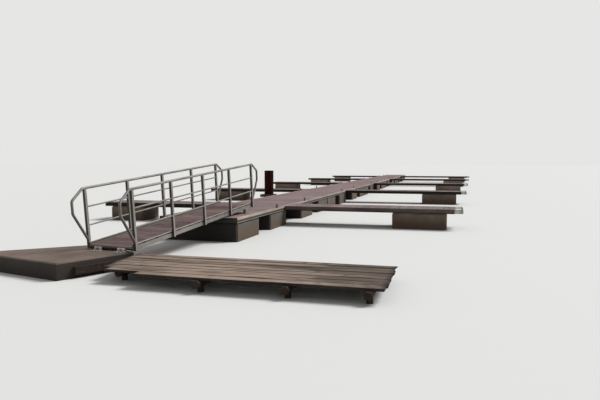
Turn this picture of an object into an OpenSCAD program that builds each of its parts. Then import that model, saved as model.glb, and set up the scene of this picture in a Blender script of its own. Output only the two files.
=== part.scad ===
// Floating timber jetty with mooring fingers, a hinged gangway and a shore landing.
// Sizes are those of the real jetty in millimetres, and the model is built 1:model_ratio.
// +Y runs out along the walkway, +Z is up, and Z = 0 is the lowest point at the water.
// The origin is the middle of the underside of the first float.

/* [Model] */
// How many times smaller than the real jetty the model is
model_ratio = 2; // [1:1:20]

/* [Walkway] */
// Number of bays, each with one pair of fingers
bays = 5; // [2:1:5]
// Length of one bay
bay_l = 9600; // [9000:100:12000]
// Width of the walkway
walkway_w = 2000; // [1700:50:2600]
// Height of the deck over the lowest point
deck_top = 570; // [540:5:600]
// Thickness of the decks
deck_t = 55; // [40:5:70]
// Width of the boards along the deck's edges
edge_board_w = 60; // [40:5:90]
// Open joint between a deck and its edge boards
board_joint = 4; // [2:1:10]
// Gap between one bay and the next
bay_gap = 20; // [10:5:30]

/* [Walkway frame] */
// Height of the timber walers under the edge boards
waler_h = 45; // [45:5:60]
// Width of the walers
waler_w = 90; // [70:5:110]
// Thickness of the steel flats under the walers
flat_t = 20; // [20:2:30]
// Width of the steel flats
flat_w = 120; // [115:5:160]
// Spacing of the cross channels
bearer_pitch = 800; // [500:50:1200]
// Width of a cross channel's flanges
bearer_flange_w = 45; // [30:5:60]
// Thickness of a cross channel's steel
bearer_t = 8; // [6:1:12]
// Clearance at the ends of the cross channels
bearer_play = 2; // [1:1:5]

/* [Couplings between bays] */
// Distance of a coupling from the walkway's centre line
coupler_x = 600; // [300:50:700]
// Width of a coupling block
coupler_w = 160; // [100:10:240]
// Height of a coupling block
coupler_h = 50; // [40:2:60]
// Diameter of the coupling bolt holes
coupler_hole_d = 18; // [12:1:18]
// Vertical spacing of the coupling bolt holes
coupler_hole_pitch = 30; // [26:1:30]

/* [Floats] */
// Length of a walkway float along the walkway
float_l = 1500; // [1200:50:1800]
// Distance from a bay's end to its end float
float_end_gap = 50; // [20:10:200]
// How far the floats stand back from the frame's sides
float_setback = 20; // [0:5:60]
// Size of the chamfer on a float's edges
float_chamfer = 35; // [15:5:60]

/* [Fingers] */
// Distance from a bay's shore end to the middle of its fingers
finger_at = 4200; // [3000:100:6500]
// Width of a finger
finger_w = 1100; // [800:50:1400]
// Length of the first finger on the right
finger_right_l = 4830; // [3500:10:5200]
// How much longer each further finger on the right is
finger_right_step = 340; // [0:10:360]
// Length of the first finger on the left
finger_left_first_l = 4060; // [3500:10:6000]
// Length of the other fingers on the left
finger_left_l = 4770; // [3500:10:6000]
// Gap between the walkway's side and a finger
finger_gap = 20; // [10:5:40]
// Height of the fingers' side boards
fascia_h = 100; // [80:2:104]
// Thickness of the fingers' side boards
fascia_t = 45; // [30:5:60]
// Width of the steel beams under the side boards
finger_beam_w = 80; // [75:5:120]
// Length of a finger's float
finger_float_l = 1480; // [1000:20:1800]
// Length of the float of the first finger on the left
finger_left_first_float_l = 1120; // [800:20:1800]
// Distance from a finger's outer end to its float
finger_float_end_gap = 200; // [100:20:500]
// How far a finger's end bracket reaches out
end_bracket_reach = 230; // [120:10:300]
// Height of a finger's end bracket
end_bracket_h = 110; // [80:5:140]
// Thickness of the end bracket's plate
end_bracket_t = 10; // [6:1:16]
// Length of the two slots in the sides of an end bracket
end_bracket_slot_l = 170; // [60:10:200]
// Width of the root brackets
root_bracket_w = 160; // [100:10:240]

/* [Cleats] */
// Length of a cleat's bar
cleat_l = 230; // [160:10:300]
// Height of a cleat's bar over the deck
cleat_h = 85; // [60:5:120]
// Diameter of a cleat's bar and legs
cleat_d = 24; // [16:1:32]
// How far a cleat's base stands back from the edge board's sides
cleat_base_margin = 4; // [2:1:10]
// Distance of the shore-side cleats from the middle of the fingers
cleat_before = 1150; // [900:50:2500]
// Distance of the outer cleats from the middle of the fingers
cleat_after = 1900; // [900:50:2500]

/* [Mooring pile] */
// Diameter of the pile
pile_d = 356; // [250:1:450]
// Height of the pile's top over the lowest point
pile_top = 1540; // [900:10:2500]
// Distance from the pile to the outer end of the first bay
pile_to_bay_end = 760; // [600:20:1800]
// Gap between the walkway's side and the pile
pile_gap = 50; // [45:5:120]
// Clearance between the pile and its guide pads
pile_play = 15; // [5:1:25]
// Thickness of the guide pads
pad_t = 25; // [15:5:30]
// Width of the guide's steel section
guide_w = 60; // [40:5:80]
// Height of the guide's steel section
guide_h = 100; // [60:5:110]
// Height of the guide's top over the deck
guide_over_deck = 35; // [10:5:60]

/* [Gangway] */
// Number of post bays
post_bays = 4; // [3:1:5]
// Spacing of the posts
post_pitch = 1186; // [900:2:1300]
// Distance between the posts' centre lines across the gangway
gangway_w = 1013; // [800:1:1100]
// Height of the top rail over the side beams
rail_h = 1014; // [900:2:1150]
// Slope of the gangway at the water level shown, in degrees
gangway_slope = 5; // [4.5:0.05:6]
// Turn of the gangway away from the walkway's direction, in degrees
gangway_turn = 5; // [0:0.5:8]
// Distance from the hinge line to the first posts
hinge_to_post = 70; // [65:1:100]
// Distance from the last posts to the far end of the side beams
beam_overrun = 60; // [30:5:150]
// Height of the side beams
beam_h = 76; // [76:2:90]
// Width of the side beams' flanges
beam_flange_w = 55; // [40:5:70]
// Thickness of the side beams' steel
beam_t = 8; // [6:1:10]
// Thickness of the gangway's deck
gangway_deck_t = 30; // [20:2:36]
// How far the gangway's deck lies under the top of the side beams
gangway_deck_drop = 12; // [8:1:16]
// Width of the cross bearers
gangway_bearer_w = 50; // [30:5:80]

/* [Gangway rails] */
// Side of the square posts
post_s = 50; // [40:1:60]
// Diameter of the top rail
rail_d = 48; // [38:1:60]
// Diameter of the two lower rails
mid_rail_d = 30; // [20:1:36]
// How far the end loops reach out
loop_reach = 330; // [250:10:400]
// How far the loops' upper bend lies under the top rail
loop_drop_upper = 190; // [150:10:250]
// How far the loops' lower bend lies under the top rail
loop_drop_lower = 420; // [380:10:500]
// Height over the side beams where a loop meets its post
loop_foot_h = 60; // [40:5:120]
// Radius of the rail's bends
bend_r = 80; // [60:5:100]
// How far an elbow stands out from the rail's surface
elbow_step = 1; // [1:0.5:2]
// How far a rail runs into its elbow
elbow_lap = 5; // [2:1:8]
// Height of the toe rail's bar
toe_bar_h = 22; // [12:1:30]
// Width of the toe rail's bar
toe_bar_w = 20; // [12:1:30]
// Height of the slots under the toe rail
toe_slot_h = 18; // [8:1:24]
// Spacing of the blocks under the toe rail
toe_block_pitch = 380; // [330:10:500]
// Length of a block under the toe rail
toe_block_l = 290; // [100:10:300]
// How far the blocks stand back from the toe rail's outer face
toe_block_back = 9; // [0:1:10]

/* [Gangway wheels] */
// Diameter of the wheels that carry the gangway's far end
wheel_d = 100; // [80:2:104]
// Width of a wheel
wheel_w = 55; // [40:1:60]
// Distance from the last posts back to the wheels
wheel_setback = 300; // [200:10:320]
// Gap between a wheel and the deck
wheel_gap = 0.5; // [0.2:0.1:2]
// Diameter of a wheel's axle
axle_d = 16; // [12:1:24]
// Thickness of the wheel forks' plates
fork_t = 8; // [6:1:10]
// Gap between a wheel and its fork
fork_play = 4; // [2:1:8]

/* [Hinges] */
// Height of the hinge line over the abutment
hinge_lift = 45; // [42:1:60]
// Height of the side beams' top over the hinge line
curb_over_hinge = 45; // [44:1:58]
// Distance of each hinge from the gangway's centre line
hinge_x = 250; // [200:5:260]
// Diameter of the hinge knuckles
knuckle_d = 42; // [34:1:46]
// Length of one hinge knuckle
knuckle_l = 45; // [30:1:60]
// Diameter of the hinge pins
pin_d = 20; // [12:1:24]
// Radial clearance of the pins and axles
pin_play = 0.1; // [0.04:0.02:0.2]
// Gap between two knuckles
knuckle_gap = 2; // [1:0.5:4]
// Gap between the hinge line and the side beams' shore ends
hinge_reach = 35; // [34:1:44]
// Thickness of the hinge's base plate
hinge_base_t = 10; // [6:1:14]
// How far the hinge's base plate stands out beyond its knuckles
hinge_base_margin = 30; // [24:1:34]
// How far a hinge pin stands out beyond its knuckles
pin_over = 6; // [3:1:10]

/* [Shore] */
// Distance from the walkway's shore end back to the hinge line
shore_gap = 3305; // [3000:5:3320]
// Sideways place of the gangway's middle at the hinge line
gangway_x = -83; // [-300:1:200]
// Height of the abutment over the lowest point
abutment_h = 280; // [270:1:300]
// Size of the chamfer on the abutment's top edges
abutment_chamfer = 20; // [10:5:40]

/* [Landing] */
// Distance from the walkway's shore end back to the landing's boards
landing_gap = 3085; // [3020:5:3200]
// Height of the landing's boards over the lowest point
landing_top = 227; // [200:1:240]
// Width of a landing board
landing_board_w = 196; // [150:1:200]
// Joint between two landing boards
landing_joint = 8; // [4:1:16]
// Thickness of a landing board
landing_board_t = 40; // [30:2:50]
// Place across the jetty where the landing's boards end
landing_right = 4950; // [4500:10:5500]
// Length of the timber along the abutment's side
ledger_l = 1150; // [600:50:1400]
// Height of the timber along the abutment's side
ledger_h = 120; // [60:10:140]
// Thickness of the timber along the abutment's side
ledger_t = 90; // [60:5:110]
// Diameter of the logs under the landing
log_d = 120; // [100:5:130]
// How far the logs stand out under the front board
log_overhang = 60; // [0:10:150]
// Depth of the flats cut on the logs
log_flat = 8; // [4:1:16]
// Diameter of the stakes under the logs
stake_d = 90; // [60:5:100]

/* [Hidden] */
$fn = 32;

concrete = [0.60, 0.57, 0.51];
galvanised = [0.66, 0.66, 0.62];
deck_wood = [0.55, 0.47, 0.44];
pale_wood = [0.74, 0.68, 0.60];
brown_wood = [0.33, 0.26, 0.20];
dark_steel = [0.16, 0.15, 0.14];
rust_red = [0.26, 0.10, 0.07];
black = [0.10, 0.10, 0.10];

waler_top = deck_top - deck_t;
flat_top = waler_top - waler_h;
float_top = flat_top - flat_t;
bearer_h = waler_top - float_top;
fascia_bottom = deck_top - fascia_h;
walkway_start = -float_end_gap - float_l / 2;
walkway_end = walkway_start + bays * bay_l;
float_places = [float_end_gap + float_l / 2, bay_l / 3, 2 * bay_l / 3, bay_l - float_end_gap - float_l / 2];
sides = [-1, 1];
cut = 1;

// Landing boards, from the water side to the shore side: where each one starts
board_starts = [385, 372, 393, 423, 452, 482, 640, 1250];
// Places of the logs across the jetty, and the board under which each one ends
log_places = [[800, 6], [2300, 8], [3600, 8], [4720, 8]];
// Abutment's corners, from the middle of the hinge line
abutment_corners = [[-70, -1270], [455, 50], [-700, 600], [-2190, -760]];
landing_back = walkway_start - landing_gap;
landing_pitch = landing_board_w + landing_joint;

hinge_y = walkway_start - shore_gap;
hinge_z = abutment_h + hinge_lift;
first_post_y = hinge_to_post;
last_post_y = hinge_to_post + post_bays * post_pitch;
beam_end_y = last_post_y + beam_overrun;
beam_l = beam_end_y - hinge_reach;
web_x = gangway_w / 2 - post_s / 2;
curb_z = curb_over_hinge;
beam_bottom_z = curb_z - beam_h;
gangway_deck_z = curb_z - gangway_deck_drop - gangway_deck_t;
gangway_bearer_h = gangway_deck_z - beam_bottom_z - beam_t;
gangway_inner_w = 2 * (web_x - beam_t);
wheel_y = last_post_y - wheel_setback;
wheel_z = (deck_top + wheel_gap + wheel_d / 2 - hinge_z - wheel_y * sin(gangway_slope)) / cos(gangway_slope);
fork_x = web_x - fork_t - fork_play - wheel_w / 2;
pile_x = -walkway_w / 2 - pile_gap - pile_d / 2;
pile_y = walkway_start + bay_l - pile_to_bay_end;

module at_scale() {
    scale(1 / model_ratio) children();
}

module bay_at(i) {
    translate([0, walkway_start + (i - 1) * bay_l, 0]) children();
}

module box_at(x, y, z, l, w, h) {
    translate([x - l / 2, y - w / 2, z]) cube([l, w, h]);
}

// Concrete float with chamfered edges, centred in x and y
module float_block(l, w, h, c) {
    linear_extrude(h - c) chamfered_outline(l, w, c);
    translate([0, 0, h - c]) linear_extrude(c) chamfered_outline(l - c, w - c, c);
}

module chamfered_outline(l, w, c) {
    x = l / 2;
    y = w / 2;
    polygon([[x - c, y], [c - x, y], [-x, y - c], [-x, c - y], [c - x, -y], [x - c, -y], [x, c - y], [x, y - c]]);
}

// Steel channel across the frame, its web at y = 0 and its flanges towards +y
module cross_channel(l, h) {
    translate([-l / 2, 0, 0]) {
        cube([l, bearer_t, h]);
        cube([l, bearer_flange_w, bearer_t]);
        translate([0, 0, h - bearer_t]) cube([l, bearer_flange_w, bearer_t]);
    }
}

// Holes for the bolts of the couplings, through a cross channel's web
module coupler_holes() {
    for (s = sides, t = sides)
        translate([s * coupler_x, -cut, bearer_h / 2 + t * coupler_hole_pitch / 2])
            rotate([-90, 0, 0]) cylinder(d = coupler_hole_d, h = bearer_t + 2 * cut);
}

// Ladder frame from y = 0 to y = l, on the floats
module ladder_frame(l, w, side_w, rail_w, rail_h, pitch) {
    count = max(2, round(l / pitch));
    bearer_l = w - 2 * side_w - 2 * bearer_play;
    for (s = sides) box_at(s * (w - rail_w) / 2, l / 2, 0, rail_w, l, rail_h);
    for (k = [1:count - 1]) translate([0, k * l / count, 0]) cross_channel(bearer_l, bearer_h);
    end_channel(bearer_l);
    translate([0, l, 0]) rotate([0, 0, 180]) end_channel(bearer_l);
}

module end_channel(l) {
    difference() {
        cross_channel(l, bearer_h);
        coupler_holes();
    }
}

module walkway_floats(i) {
    color(concrete) bay_at(i) for (y = float_places)
        translate([0, y, 0]) float_block(walkway_w - 2 * float_setback, float_l, float_top, float_chamfer);
}

module walkway_frame(i) {
    color(galvanised) bay_at(i) translate([0, bay_gap / 2, float_top])
        ladder_frame(bay_l - bay_gap, walkway_w, waler_w, flat_w, flat_t, bearer_pitch);
}

module walkway_deck(i) {
    trim_start = bay_gap / 2 + (i == 1 ? edge_board_w + board_joint : 0);
    trim_end = bay_gap / 2 + (i == bays ? edge_board_w + board_joint : 0);
    l = bay_l - trim_start - trim_end;
    w = walkway_w - 2 * edge_board_w - 2 * board_joint;
    color(deck_wood) bay_at(i) box_at(0, trim_start + l / 2, waler_top, w, l, deck_t);
}

module walkway_walers() {
    color(brown_wood) for (i = [1:bays], s = sides)
        bay_at(i) box_at(s * (walkway_w - waler_w) / 2, bay_l / 2, flat_top, waler_w, bay_l - bay_gap, waler_h);
}

module walkway_edge_boards() {
    end_l = walkway_w - 2 * edge_board_w - 2 * board_joint;
    color(pale_wood) {
        for (i = [1:bays], s = sides)
            bay_at(i) box_at(s * (walkway_w - edge_board_w) / 2, bay_l / 2, waler_top,
                             edge_board_w, bay_l - bay_gap, deck_t);
        for (y = [walkway_start + (bay_gap + edge_board_w) / 2, walkway_end - (bay_gap + edge_board_w) / 2])
            box_at(0, y, waler_top, end_l, edge_board_w, deck_t);
    }
}

module bay_couplers() {
    color(black) for (i = [1:bays - 1], s = sides)
        bay_at(i) box_at(s * coupler_x, bay_l, float_top + (bearer_h - coupler_h) / 2, coupler_w, bay_gap, coupler_h);
}

// Two-horned cleat standing on z = 0, its bar along y
module cleat() {
    tip = cleat_d;
    bar_l = cleat_l - 2 * tip;
    box_at(0, 0, 0, edge_board_w - 2 * cleat_base_margin, cleat_l * 0.7, cleat_d / 3);
    for (s = sides) translate([0, s * cleat_l / 6, 0]) cylinder(d = cleat_d, h = cleat_h);
    translate([0, 0, cleat_h]) rotate([-90, 0, 0]) {
        translate([0, 0, -bar_l / 2]) cylinder(d = cleat_d, h = bar_l);
        translate([0, 0, bar_l / 2]) cylinder(d1 = cleat_d, d2 = cleat_d / 2, h = tip);
        translate([0, 0, -bar_l / 2 - tip]) cylinder(d1 = cleat_d / 2, d2 = cleat_d, h = tip);
    }
}

module cleats() {
    color(dark_steel) for (i = [1:bays], s = sides, y = [-cleat_before, cleat_after])
        bay_at(i) translate([s * (walkway_w - edge_board_w) / 2, finger_at + y, deck_top]) cleat();
}

// Places the fingers of one side, each running out along +y from the walkway
module each_finger(side) {
    for (i = [1:bays]) let($row = i)
        bay_at(i) translate([side * (walkway_w / 2 + finger_gap), finger_at, 0]) rotate([0, 0, -side * 90]) children();
}

// Length of a finger from its root, for the right side or the left
function finger_l(side, row) = (side > 0 ? right_finger_l(row) : left_finger_l(row)) - finger_gap;
function right_finger_l(row) = finger_right_l + (row - 1) * finger_right_step;
function left_finger_l(row) = row == 1 ? finger_left_first_l : finger_left_l;

// Length of a finger's float
function float_l_of(side, row) = side < 0 && row == 1 ? finger_left_first_float_l : finger_float_l;

module finger_floats() {
    w = finger_w - 2 * float_setback;
    color(concrete) for (side = sides) each_finger(side)
        translate([0, finger_l(side, $row) - finger_float_end_gap - float_l_of(side, $row) / 2, 0])
            float_block(w, float_l_of(side, $row), float_top, float_chamfer);
}

module finger_frames() {
    h = fascia_bottom - float_top;
    color(galvanised) for (side = sides) each_finger(side) translate([0, 0, float_top])
        ladder_frame_plain(finger_l(side, $row), finger_w, fascia_t, finger_beam_w, h, bearer_pitch);
}

// Ladder frame without coupling holes
module ladder_frame_plain(l, w, side_w, rail_w, rail_h, pitch) {
    count = max(2, round(l / pitch));
    bearer_l = w - 2 * side_w - 2 * bearer_play;
    for (s = sides) box_at(s * (w - rail_w) / 2, l / 2, 0, rail_w, l, rail_h);
    for (k = [0:count - 1]) translate([0, k * l / count, 0]) cross_channel(bearer_l, bearer_h);
    translate([0, l, 0]) rotate([0, 0, 180]) cross_channel(bearer_l, bearer_h);
}

module finger_decks() {
    w = finger_w - 2 * fascia_t - 2 * board_joint;
    color(deck_wood) for (side = sides) each_finger(side)
        box_at(0, finger_l(side, $row) / 2, waler_top, w, finger_l(side, $row), deck_t);
}

module finger_side_boards() {
    color(deck_wood) for (side = sides) each_finger(side) for (s = sides)
        box_at(s * (finger_w - fascia_t) / 2, finger_l(side, $row) / 2, fascia_bottom, fascia_t, finger_l(side, $row), fascia_h);
}

// Brackets on the right, each with two long slots in its sides
module finger_end_brackets() {
    t = end_bracket_t;
    bar = end_bracket_h / 5;
    color(galvanised) each_finger(1)
        translate([0, finger_l(1, $row), deck_top - end_bracket_h]) difference() {
            box_at(0, end_bracket_reach / 2, 0, finger_w, end_bracket_reach, end_bracket_h);
            box_at(0, end_bracket_reach / 2, t, finger_w - 2 * t, end_bracket_reach - 2 * t, end_bracket_h);
            for (k = [1, 3])
                box_at(0, end_bracket_reach / 2, k * bar, finger_w + 2 * cut, end_bracket_slot_l, bar);
        }
}

module finger_root_brackets() {
    h = fascia_bottom - float_top;
    color(rust_red) for (side = sides) each_finger(side) for (s = sides)
        box_at(s * (finger_w - root_bracket_w) / 2, -finger_gap / 2, float_top, root_bracket_w, finger_gap, h);
}

module mooring_pile() {
    color(rust_red) translate([pile_x, pile_y, 0]) cylinder(d = pile_d, h = pile_top, $fn = 64);
}

// Steel frame round the pile, bolted to the walkway's side
module pile_guide() {
    inner = pile_d + 2 * pile_play + 2 * pad_t;
    outer = inner + 2 * guide_w;
    far_x = pile_x - outer / 2;
    near_x = -walkway_w / 2;
    z = deck_top + guide_over_deck - guide_h;
    color(dark_steel) difference() {
        box_at((far_x + near_x) / 2, pile_y, z, near_x - far_x, outer, guide_h);
        translate([pile_x - inner / 2, pile_y - inner / 2, z - cut])
            cube([min(inner, near_x - bearer_t - pile_x + inner / 2), inner, guide_h + 2 * cut]);
    }
}

module pile_guide_pads() {
    z = deck_top + guide_over_deck - guide_h;
    pad_w = pile_d / 2;
    place = pile_d / 2 + pile_play + pad_t / 2;
    color(black) {
        for (s = sides) box_at(pile_x, pile_y + s * place, z, pad_w, pad_t, guide_h);
        box_at(pile_x - place, pile_y, z, pad_t, pad_w, guide_h);
    }
}

// Puts its children at the hinge line, level and turned with the gangway
module at_hinge() {
    translate([gangway_x, hinge_y, hinge_z]) rotate([0, 0, -gangway_turn]) children();
}

// Puts its children on the gangway: y along it from the hinge line, z square to its deck
module on_gangway() {
    at_hinge() rotate([gangway_slope, 0, 0]) children();
}

module shore_abutment() {
    color(concrete) translate([gangway_x, hinge_y, 0]) hull() {
        linear_extrude(abutment_h - abutment_chamfer) polygon(abutment_corners);
        linear_extrude(abutment_h) offset(delta = -abutment_chamfer) polygon(abutment_corners);
    }
}

// Knuckle of length l along x, centred on the hinge line
module knuckle(l) {
    rotate([0, 90, 0]) translate([0, 0, -l / 2]) cylinder(d = knuckle_d, h = l);
}

module pin_bore() {
    rotate([0, 90, 0]) translate([0, 0, -2 * knuckle_l]) cylinder(d = pin_d + 2 * pin_play, h = 4 * knuckle_l);
}

module hinge_brackets() {
    base_w = 3 * knuckle_l + 2 * knuckle_gap + 2 * hinge_base_margin;
    color(dark_steel) at_hinge() for (s = sides) translate([s * hinge_x, 0, 0]) difference() {
        union() {
            for (t = sides) translate([t * (knuckle_l + knuckle_gap), 0, 0]) {
                knuckle(knuckle_l);
                box_at(0, -knuckle_d / 4, -hinge_lift, knuckle_l, knuckle_d / 2, hinge_lift);
            }
            box_at(0, -knuckle_d, -hinge_lift, base_w, 3 * knuckle_d, hinge_base_t);
        }
        pin_bore();
    }
}

module gangway_knuckles() {
    color(galvanised) on_gangway() for (s = sides) translate([s * hinge_x, 0, 0]) difference() {
        union() {
            knuckle(knuckle_l);
            box_at(0, hinge_reach / 2, -knuckle_d / 2 + 2, knuckle_l, hinge_reach, knuckle_d / 2);
        }
        pin_bore();
    }
}

module hinge_pins() {
    l = 3 * knuckle_l + 2 * knuckle_gap + 2 * pin_over;
    color(galvanised) on_gangway() for (s = sides)
        translate([s * hinge_x - l / 2, 0, 0]) rotate([0, 90, 0]) cylinder(d = pin_d, h = l);
}

// Side beam on the right: a channel with its web outside
module side_beam() {
    translate([0, hinge_reach, beam_bottom_z]) {
        translate([web_x - beam_t, 0, 0]) cube([beam_t, beam_l, beam_h]);
        for (z = [0, beam_h - beam_t])
            translate([web_x - beam_flange_w, 0, z]) cube([beam_flange_w, beam_l, beam_t]);
    }
}

module gangway_side_beams() {
    color(galvanised) on_gangway() for (s = sides) scale([s, 1, 1]) side_beam();
}

module gangway_bearers() {
    count = 2 * post_bays;
    w = gangway_bearer_w;
    color(galvanised) on_gangway() for (k = [0:count])
        box_at(0, hinge_reach + w / 2 + k * (beam_l - w) / count, beam_bottom_z + beam_t,
               gangway_inner_w, w, gangway_bearer_h);
}

module gangway_deck() {
    color(deck_wood) on_gangway()
        box_at(0, hinge_reach + beam_l / 2, gangway_deck_z, gangway_inner_w - 2 * board_joint, beam_l, gangway_deck_t);
}

module gangway_toe_rails() {
    count = floor((beam_l - toe_block_l) / toe_block_pitch);
    x = web_x - toe_bar_w / 2;
    block_x = x - toe_block_back / 2;
    block_w = toe_bar_w - toe_block_back;
    color(galvanised) on_gangway() for (s = sides) {
        box_at(s * x, hinge_reach + beam_l / 2, curb_z + toe_slot_h, toe_bar_w, beam_l, toe_bar_h);
        for (k = [0:count])
            box_at(s * block_x, hinge_reach + toe_block_l / 2 + k * toe_block_pitch, curb_z,
                   block_w, toe_block_l, toe_slot_h);
    }
}

module gangway_posts() {
    color(galvanised) on_gangway() for (s = sides, k = [0:post_bays])
        translate([s * gangway_w / 2, first_post_y + k * post_pitch, 0]) difference() {
            box_at(0, 0, beam_bottom_z, post_s, post_s, curb_z + rail_h - rail_d / 4 - beam_bottom_z);
            translate([0, -post_s, curb_z + rail_h]) rotate([-90, 0, 0]) cylinder(d = rail_d, h = 2 * post_s);
        }
}

// Length along a bend from its corner to its tangent point
function tangent_l(turn) = bend_r * tan(abs(turn) / 2);
function heading(a, b) = atan2(b[1] - a[1], b[0] - a[0]);

// Round tube through corner points in the x-y plane, with a welded elbow at every inner corner
module bent_tube(points, d) {
    n = len(points) - 1;
    headings = [for (i = [0:n - 1]) heading(points[i], points[i + 1])];
    turns = [for (i = [0:n]) i == 0 || i == n ? 0 : headings[i] - headings[i - 1]];
    trims = [for (i = [0:n]) i == 0 || i == n ? 0 : tangent_l(turns[i]) - elbow_lap];
    for (i = [0:n - 1]) {
        l = norm(points[i + 1] - points[i]) - trims[i] - trims[i + 1];
        translate([points[i][0], points[i][1], 0]) rotate([0, 0, headings[i]])
            translate([trims[i], 0, 0]) rotate([0, 90, 0]) cylinder(d = d, h = l);
    }
    for (i = [1:n - 1])
        translate([points[i][0], points[i][1], 0]) rotate([0, 0, headings[i - 1]]) elbow(turns[i], d + 2 * elbow_step);
}

// Elbow of a tube that comes along +x and turns by an angle about the origin's corner
module elbow(turn, d) {
    side = turn > 0 ? 1 : -1;
    translate([-tangent_l(turn), side * bend_r, 0]) rotate([0, 0, turn > 0 ? -90 : 90 + turn])
        rotate_extrude(angle = abs(turn)) translate([bend_r, 0]) circle(d = d);
}

module gangway_handrails() {
    top = curb_z + rail_h;
    foot = curb_z + loop_foot_h;
    over = post_s / 2 + bend_r / 3;
    near = first_post_y;
    far = last_post_y;
    path = [
        [near, foot],
        [near - loop_reach, top - loop_drop_lower],
        [near - loop_reach, top - loop_drop_upper],
        [near - over, top],
        [far + over, top],
        [far + loop_reach, top - loop_drop_upper],
        [far + loop_reach, top - loop_drop_lower],
        [far, foot]
    ];
    color(galvanised) on_gangway() for (s = sides) translate([s * gangway_w / 2, 0, 0]) difference() {
        rotate([90, 0, 90]) bent_tube(path, rail_d);
        box_at(0, near + post_s / 2, 0, 2 * post_s, 2 * post_s, top - rail_h / 2);
        box_at(0, far - post_s / 2, 0, 2 * post_s, 2 * post_s, top - rail_h / 2);
    }
}

module gangway_mid_rails() {
    l = post_pitch - post_s;
    color(galvanised) on_gangway() for (s = sides, k = [0:post_bays - 1], level = [1, 2])
        translate([s * gangway_w / 2, first_post_y + post_s / 2 + k * post_pitch, curb_z + level * rail_h / 3])
            rotate([-90, 0, 0]) cylinder(d = mid_rail_d, h = l);
}

module wheel_forks() {
    reach = axle_d;
    plate_w = wheel_w + 2 * fork_play + 2 * fork_t;
    color(galvanised) on_gangway() for (s = sides) translate([s * fork_x, wheel_y, 0]) {
        difference() {
            for (t = sides) translate([t * (plate_w - fork_t) / 2, 0, 0]) {
                box_at(0, 0, wheel_z, fork_t, 3 * axle_d, beam_bottom_z - wheel_z);
                rotate([0, 90, 0]) translate([-wheel_z, 0, -fork_t / 2]) cylinder(d = 3 * axle_d, h = fork_t);
            }
            translate([0, 0, wheel_z]) rotate([0, 90, 0]) translate([0, 0, -plate_w])
                cylinder(d = axle_d + 2 * pin_play, h = 2 * plate_w);
        }
        box_at(0, 0, beam_bottom_z - fork_t, plate_w, 6 * reach, fork_t);
    }
}

module wheels() {
    color(dark_steel) on_gangway() for (s = sides) translate([s * fork_x, wheel_y, wheel_z]) rotate([0, 90, 0])
        translate([0, 0, -wheel_w / 2]) difference() {
            cylinder(d = wheel_d, h = wheel_w);
            translate([0, 0, -cut]) cylinder(d = axle_d + 2 * pin_play, h = wheel_w + 2 * cut);
        }
}

module wheel_axles() {
    l = wheel_w + 2 * fork_play + 2 * fork_t;
    color(galvanised) on_gangway() for (s = sides) translate([s * fork_x - l / 2, wheel_y, wheel_z])
        rotate([0, 90, 0]) cylinder(d = axle_d, h = l);
}

module landing_boards() {
    color(pale_wood) for (k = [0:len(board_starts) - 1])
        translate([board_starts[k], landing_back - landing_board_w - k * landing_pitch, landing_top - landing_board_t])
            cube([landing_right - board_starts[k], landing_board_w, landing_board_t]);
}

// Where the log under the given number of boards ends on the shore side
function log_front(boards) = landing_back - boards * landing_pitch - log_overhang;
log_z = landing_top - landing_board_t + log_flat - log_d / 2;

// Log with a flat on its top and bottom, running shorewards from its front end
module log(l) {
    intersection() {
        rotate([-90, 0, 0]) cylinder(d = log_d, h = l);
        translate([-log_d, -cut, -log_d / 2 + log_flat]) cube([2 * log_d, l + 2 * cut, log_d - 2 * log_flat]);
    }
}

// Timber bolted along the abutment's side, under the ends of the boards
module ledger() {
    a = abutment_corners[0];
    b = abutment_corners[1];
    translate([gangway_x + b[0], hinge_y + b[1], landing_top - landing_board_t - ledger_h])
        rotate([0, 0, heading(b, a)]) cube([ledger_l, ledger_t, ledger_h]);
}

module landing_bearers() {
    back = landing_back + log_overhang;
    color(brown_wood) {
        ledger();
        for (p = log_places) translate([p[0], log_front(p[1]), log_z]) log(back - log_front(p[1]));
    }
}

module landing_stakes() {
    top = log_z - log_d / 2 + log_flat;
    color(brown_wood) for (p = log_places, y = [log_front(p[1]) + 2 * stake_d, landing_back - 2 * stake_d])
        translate([p[0], y, 0]) cylinder(d = stake_d, h = top);
}

for (i = [1:bays]) {
    at_scale() walkway_floats(i);
    at_scale() walkway_frame(i);
    at_scale() walkway_deck(i);
}
at_scale() walkway_walers();
at_scale() walkway_edge_boards();
at_scale() bay_couplers();
at_scale() cleats();
at_scale() finger_floats();
at_scale() finger_frames();
at_scale() finger_decks();
at_scale() finger_side_boards();
at_scale() finger_end_brackets();
at_scale() finger_root_brackets();
at_scale() mooring_pile();
at_scale() pile_guide();
at_scale() pile_guide_pads();
at_scale() shore_abutment();
at_scale() hinge_brackets();
at_scale() landing_boards();
at_scale() landing_bearers();
at_scale() landing_stakes();
at_scale() gangway_side_beams();
at_scale() gangway_bearers();
at_scale() gangway_deck();
at_scale() gangway_toe_rails();
at_scale() gangway_posts();
at_scale() gangway_handrails();
at_scale() gangway_mid_rails();
at_scale() gangway_knuckles();
at_scale() hinge_pins();
at_scale() wheel_forks();
at_scale() wheels();
at_scale() wheel_axles();
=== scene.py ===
"""A floating timber jetty at half size: its boards, bolts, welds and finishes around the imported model."""

import math
import random

import bmesh
import bpy
from mathutils import Matrix, Vector


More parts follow.
